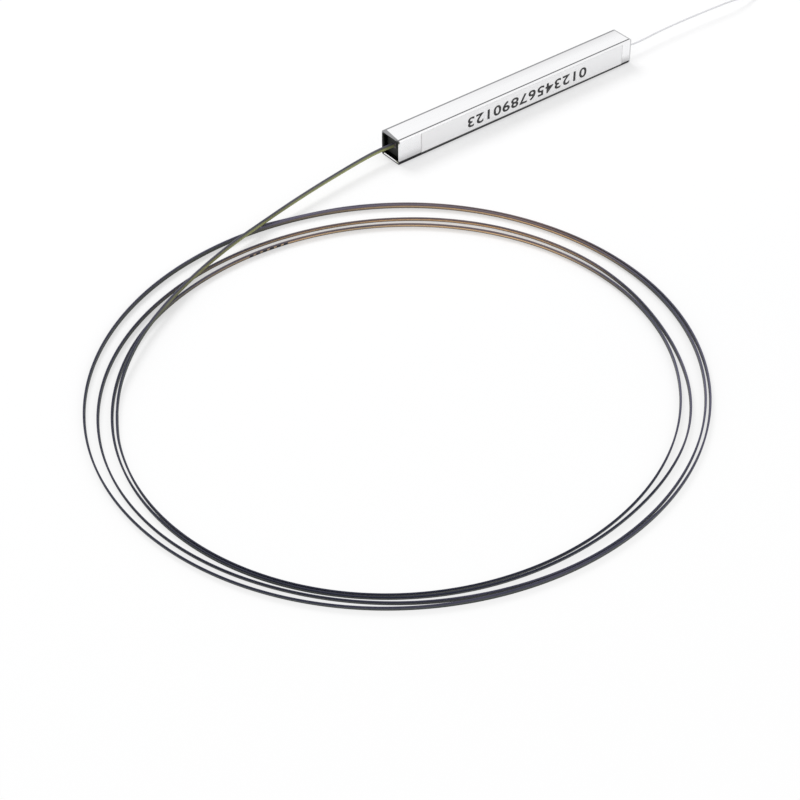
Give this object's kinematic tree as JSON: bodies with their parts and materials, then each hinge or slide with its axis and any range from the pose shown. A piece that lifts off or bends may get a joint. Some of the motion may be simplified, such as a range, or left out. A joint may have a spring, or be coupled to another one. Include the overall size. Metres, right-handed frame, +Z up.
{
  "type": "plc fibre splitter",
  "caption": "Bare-fibre planar splitter: a sealed square steel tube with a single bare fibre at one end and a coiled flat fibre ribbon at the other.",
  "frame": {"origin": "middle of the steel tube's underside, on the surface that it lies on", "axes": "+X along the tube from the ribbon end to the single-fibre end, +Z up"},
  "size_m": [0.163, 0.1071, 0.004],
  "materials": {
    "steel": "bright drawn stainless steel",
    "film": "blank satin marking film",
    "sealant": "black cured sealant",
    "chip": "polished silica waveguide chip",
    "array_glass": "ground and polished borosilicate glass",
    "clear_fibre": "clear acrylate coating over glass fibre",
    "blue_fibre": "blue coated fibre",
    "orange_fibre": "orange coated fibre",
    "green_fibre": "green coated fibre",
    "brown_fibre": "brown coated fibre",
    "ribbon": "four coated fibres in a thin clear matrix",
    "silicone": "soft translucent bedding",
    "adhesive": "cured amber epoxy"
  },
  "bodies": {
    "root": {"housing_tube": "steel", "marking_film": "film", "output_seal": "sealant", "input_seal": "sealant", "plc_die": "chip", "die_input_lid": "array_glass", "die_output_lid": "array_glass", "input_groove_block": "array_glass", "input_array_lid": "array_glass", "output_groove_block": "array_glass", "output_array_lid": "array_glass", "input_fibre": "clear_fibre", "fibre_blue": "blue_fibre", "fibre_orange": "orange_fibre", "fibre_green": "green_fibre", "fibre_brown": "brown_fibre", "ribbon_tail": "ribbon", "input_array_pad": "silicone", "output_array_pad": "silicone", "input_tail_bead": "adhesive", "output_tail_bead": "adhesive", "ribbon_lead": "ribbon", "ribbon_coil": "ribbon", "input_lead": "clear_fibre", "input_coil": "clear_fibre"}
  },
  "joints": []
}
